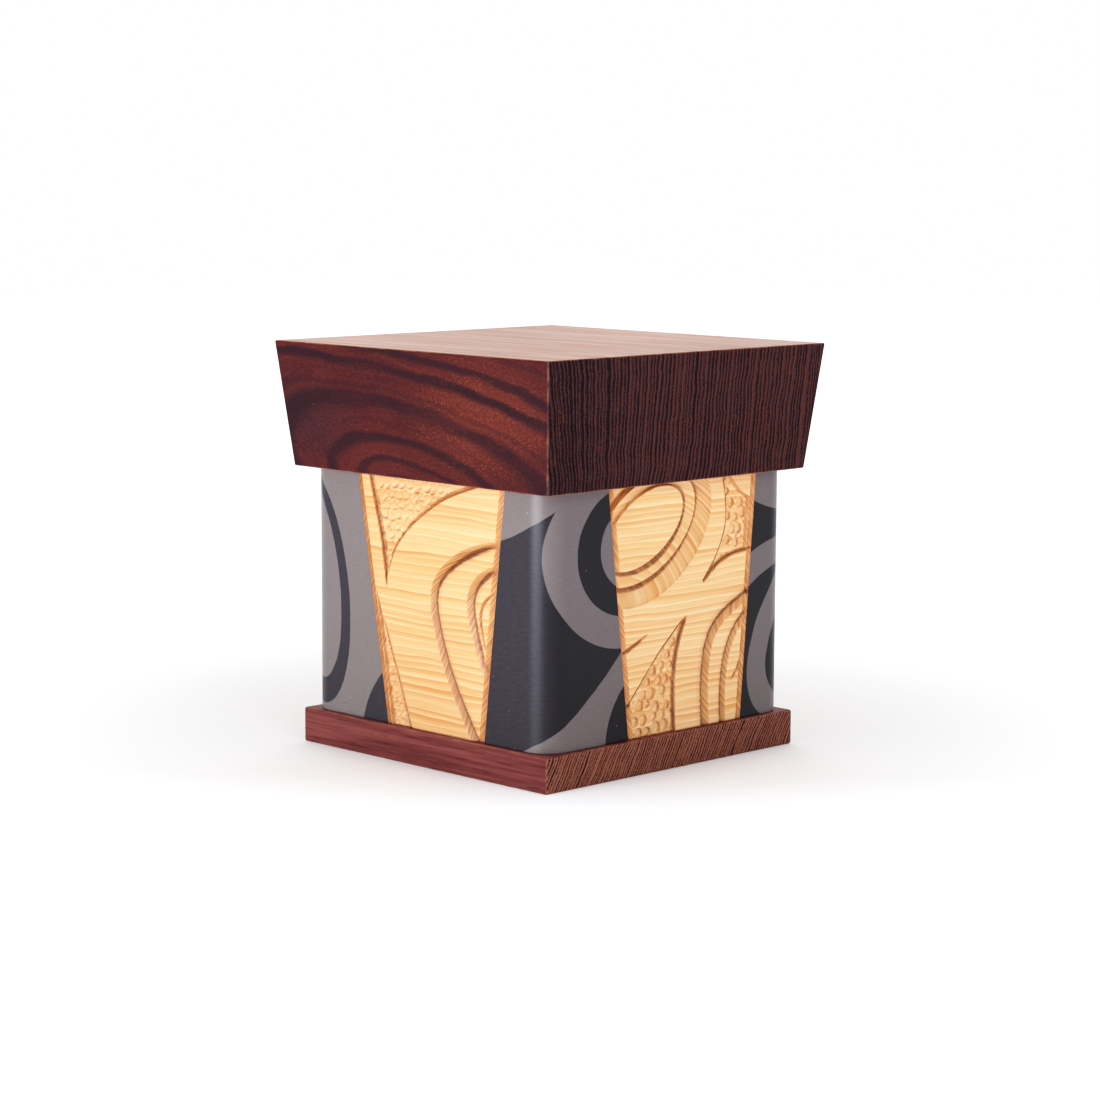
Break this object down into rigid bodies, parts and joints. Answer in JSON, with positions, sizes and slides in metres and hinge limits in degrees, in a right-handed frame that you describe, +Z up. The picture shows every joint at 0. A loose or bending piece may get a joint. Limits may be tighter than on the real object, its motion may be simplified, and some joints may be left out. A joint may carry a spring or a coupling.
{
  "type": "lidded wooden box",
  "caption": "Square bent-cedar box with rounded corners, carved and painted sides, an overhanging base board and a thick flared lift-off lid",
  "frame": {"origin": "centre of the base board's underside, on the surface that the box stands on", "axes": "+Z up, the way the lid lifts off; X along the grain of the lid and the base board; the plank's pegged corner is at -X, +Y"},
  "size_m": [0.1498, 0.1498, 0.157],
  "materials": {
    "painted_cedar": "satin grey and charcoal paint over yellow cedar, with a bare carved panel on each face",
    "base_red_cedar": "oiled red cedar, satin",
    "lid_red_cedar": "oiled dark red cedar, satin",
    "peg_wood": "bare whittled peg, end grain showing"
  },
  "bodies": {
    "box": {"side_plank": "painted_cedar", "base_board": "base_red_cedar", "corner_peg_1": "peg_wood", "corner_peg_2": "peg_wood", "corner_peg_3": "peg_wood", "corner_peg_4": "peg_wood", "corner_peg_5": "peg_wood", "base_peg_1": "peg_wood", "base_peg_2": "peg_wood", "base_peg_3": "peg_wood", "base_peg_4": "peg_wood", "base_peg_5": "peg_wood", "base_peg_6": "peg_wood", "base_peg_7": "peg_wood", "base_peg_8": "peg_wood"},
    "lid": {"lid_block": "lid_red_cedar"}
  },
  "joints": [
    {"name": "lid_lift", "type": "slide", "parent": "box", "child": "lid", "axis": [0, 0, 1], "range_m": [0, 0.15]}
  ]
}
